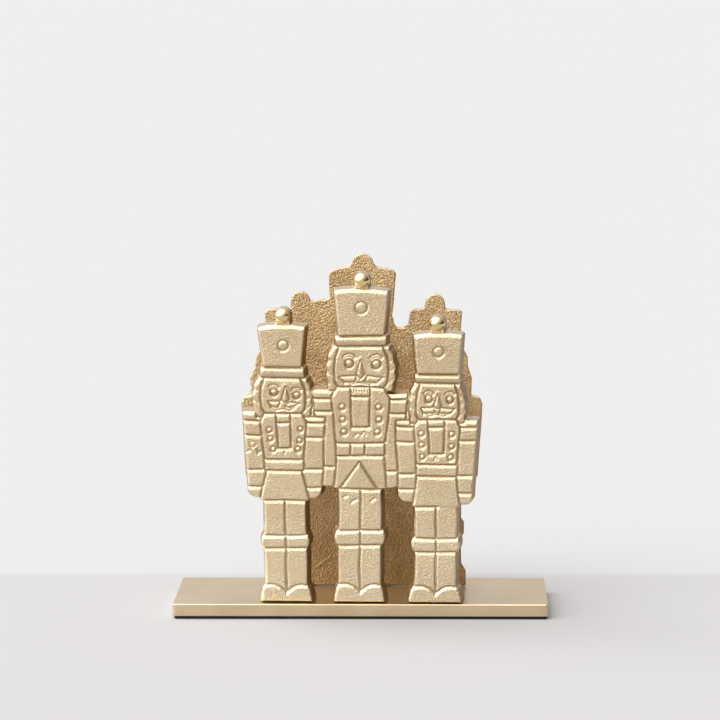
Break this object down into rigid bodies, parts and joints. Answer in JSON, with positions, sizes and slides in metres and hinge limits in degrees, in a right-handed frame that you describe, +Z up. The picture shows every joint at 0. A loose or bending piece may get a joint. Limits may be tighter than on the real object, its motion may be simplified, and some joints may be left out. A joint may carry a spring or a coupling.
{
  "type": "napkin holder",
  "caption": "Free-standing table napkin holder: two cast plates shaped as toy soldiers stand on a flat base plate, with a slot for napkins between them and felt underneath.",
  "frame": {"origin": "centre of the rectangular footprint, at the felt's underside", "axes": "+X along the base's length, to the right as seen from the front; +Y from the front plate to the rear plate; +Z up"},
  "size_m": [0.2, 0.075, 0.1902],
  "materials": {
    "base_gold": "satin champagne gold plate",
    "cast_gold": "sand-cast champagne gold, raised edges polished",
    "screw_steel": "zinc plated",
    "felt_black": "pressed felt"
  },
  "bodies": {
    "root": {"base_plate": "base_gold", "felt_pad": "felt_black", "front_casting": "cast_gold", "rear_casting": "cast_gold", "front_left_screw": "screw_steel", "front_centre_screw": "screw_steel", "front_right_screw": "screw_steel", "rear_left_screw": "screw_steel", "rear_centre_screw": "screw_steel", "rear_right_screw": "screw_steel"}
  },
  "joints": []
}
